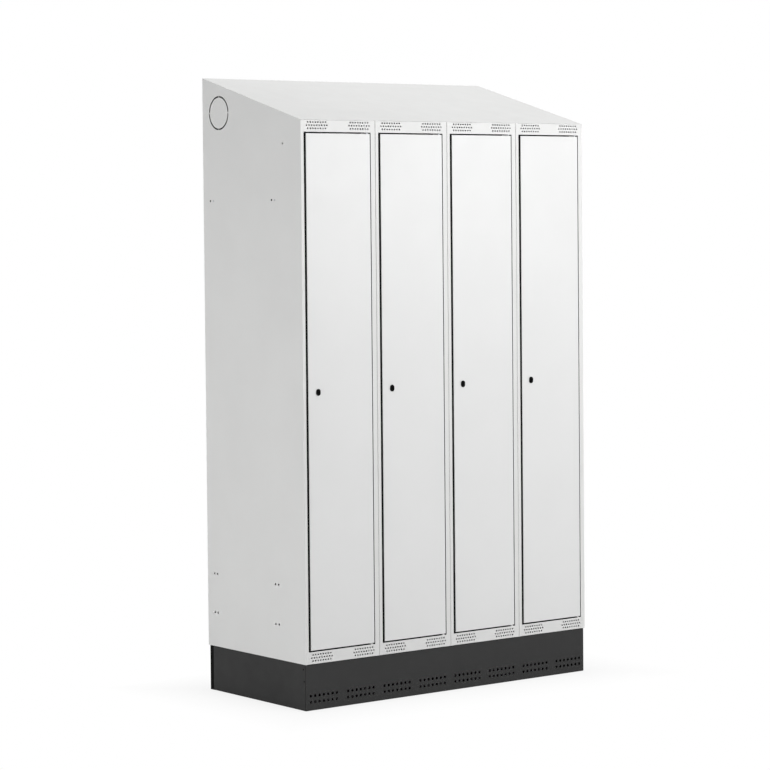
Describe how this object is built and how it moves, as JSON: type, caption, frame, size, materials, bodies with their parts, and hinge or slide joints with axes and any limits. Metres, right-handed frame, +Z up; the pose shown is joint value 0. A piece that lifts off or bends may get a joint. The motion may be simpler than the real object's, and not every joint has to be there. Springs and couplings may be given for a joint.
{
  "type": "clothes locker",
  "caption": "Steel clothes locker, side-by-side tall sections with inset doors, cam locks, hat shelves, sloping roof and perforated plinth.",
  "frame": {"origin": "on the floor, at the middle of the footprint's bounding box", "axes": "+Z up, the doors face -Y, +X to the right of someone who faces the doors"},
  "size_m": [1.2, 0.553, 2.045],
  "materials": {
    "body_enamel": "light grey powder coat, satin with a fine orange-peel",
    "door_enamel": "light grey powder coat, satin",
    "plinth_enamel": "dark grey powder coat, matt",
    "edge_strip": "matt black",
    "lock_black": "satin black",
    "zinc_plate": "bright zinc plating"
  },
  "bodies": {
    "carcass": {"section_body_1": "body_enamel", "top_rail_1": "body_enamel", "bottom_rail_1": "body_enamel", "floor_panel_1": "body_enamel", "hat_shelf_1": "body_enamel", "clothes_rail_1": "zinc_plate", "hinge_pin_bottom_1": "zinc_plate", "section_body_2": "body_enamel", "top_rail_2": "body_enamel", "bottom_rail_2": "body_enamel", "floor_panel_2": "body_enamel", "hat_shelf_2": "body_enamel", "clothes_rail_2": "zinc_plate", "hinge_pin_bottom_2": "zinc_plate", "section_body_3": "body_enamel", "top_rail_3": "body_enamel", "bottom_rail_3": "body_enamel", "floor_panel_3": "body_enamel", "hat_shelf_3": "body_enamel", "clothes_rail_3": "zinc_plate", "hinge_pin_bottom_3": "zinc_plate", "section_body_4": "body_enamel", "top_rail_4": "body_enamel", "bottom_rail_4": "body_enamel", "floor_panel_4": "body_enamel", "hat_shelf_4": "body_enamel", "clothes_rail_4": "zinc_plate", "hinge_pin_bottom_4": "zinc_plate", "roof": "body_enamel", "plinth_front": "plinth_enamel", "plinth_back": "plinth_enamel", "plinth_left": "plinth_enamel", "plinth_right": "plinth_enamel", "plinth_corner_left": "edge_strip", "plinth_corner_right": "edge_strip"},
    "door_1": {"door_panel_1": "door_enamel", "door_liner_1": "door_enamel", "door_edge_strip_1": "edge_strip", "lock_body_1": "lock_black", "hinge_pin_top_1": "zinc_plate"},
    "lock_1": {"lock_cam_1": "zinc_plate"},
    "door_2": {"door_panel_2": "door_enamel", "door_liner_2": "door_enamel", "door_edge_strip_2": "edge_strip", "lock_body_2": "lock_black", "hinge_pin_top_2": "zinc_plate"},
    "lock_2": {"lock_cam_2": "zinc_plate"},
    "door_3": {"door_panel_3": "door_enamel", "door_liner_3": "door_enamel", "door_edge_strip_3": "edge_strip", "lock_body_3": "lock_black", "hinge_pin_top_3": "zinc_plate"},
    "lock_3": {"lock_cam_3": "zinc_plate"},
    "door_4": {"door_panel_4": "door_enamel", "door_liner_4": "door_enamel", "door_edge_strip_4": "edge_strip", "lock_body_4": "lock_black", "hinge_pin_top_4": "zinc_plate"},
    "lock_4": {"lock_cam_4": "zinc_plate"}
  },
  "joints": [
    {"name": "door_1_swing", "type": "hinge", "parent": "carcass", "child": "door_1", "pos_m": [-0.3302, -0.2675, 1.02], "axis": [0, 0, 1], "range_deg": [0, 110]},
    {"name": "lock_1_turn", "type": "hinge", "parent": "door_1", "child": "lock_1", "pos_m": [-0.54, -0.2735, 1.02], "axis": [0, 1, 0], "range_deg": [0, 90]},
    {"name": "door_2_swing", "type": "hinge", "parent": "carcass", "child": "door_2", "pos_m": [-0.03005, -0.2675, 1.02], "axis": [0, 0, 1], "range_deg": [0, 110]},
    {"name": "lock_2_turn", "type": "hinge", "parent": "door_2", "child": "lock_2", "pos_m": [-0.23985, -0.2735, 1.02], "axis": [0, 1, 0], "range_deg": [0, 90]},
    {"name": "door_3_swing", "type": "hinge", "parent": "carcass", "child": "door_3", "pos_m": [0.2701, -0.2675, 1.02], "axis": [0, 0, 1], "range_deg": [0, 110]},
    {"name": "lock_3_turn", "type": "hinge", "parent": "door_3", "child": "lock_3", "pos_m": [0.0603, -0.2735, 1.02], "axis": [0, 1, 0], "range_deg": [0, 90]},
    {"name": "door_4_swing", "type": "hinge", "parent": "carcass", "child": "door_4", "pos_m": [0.57025, -0.2675, 1.02], "axis": [0, 0, 1], "range_deg": [0, 110]},
    {"name": "lock_4_turn", "type": "hinge", "parent": "door_4", "child": "lock_4", "pos_m": [0.36045, -0.2735, 1.02], "axis": [0, 1, 0], "range_deg": [0, 90]}
  ]
}
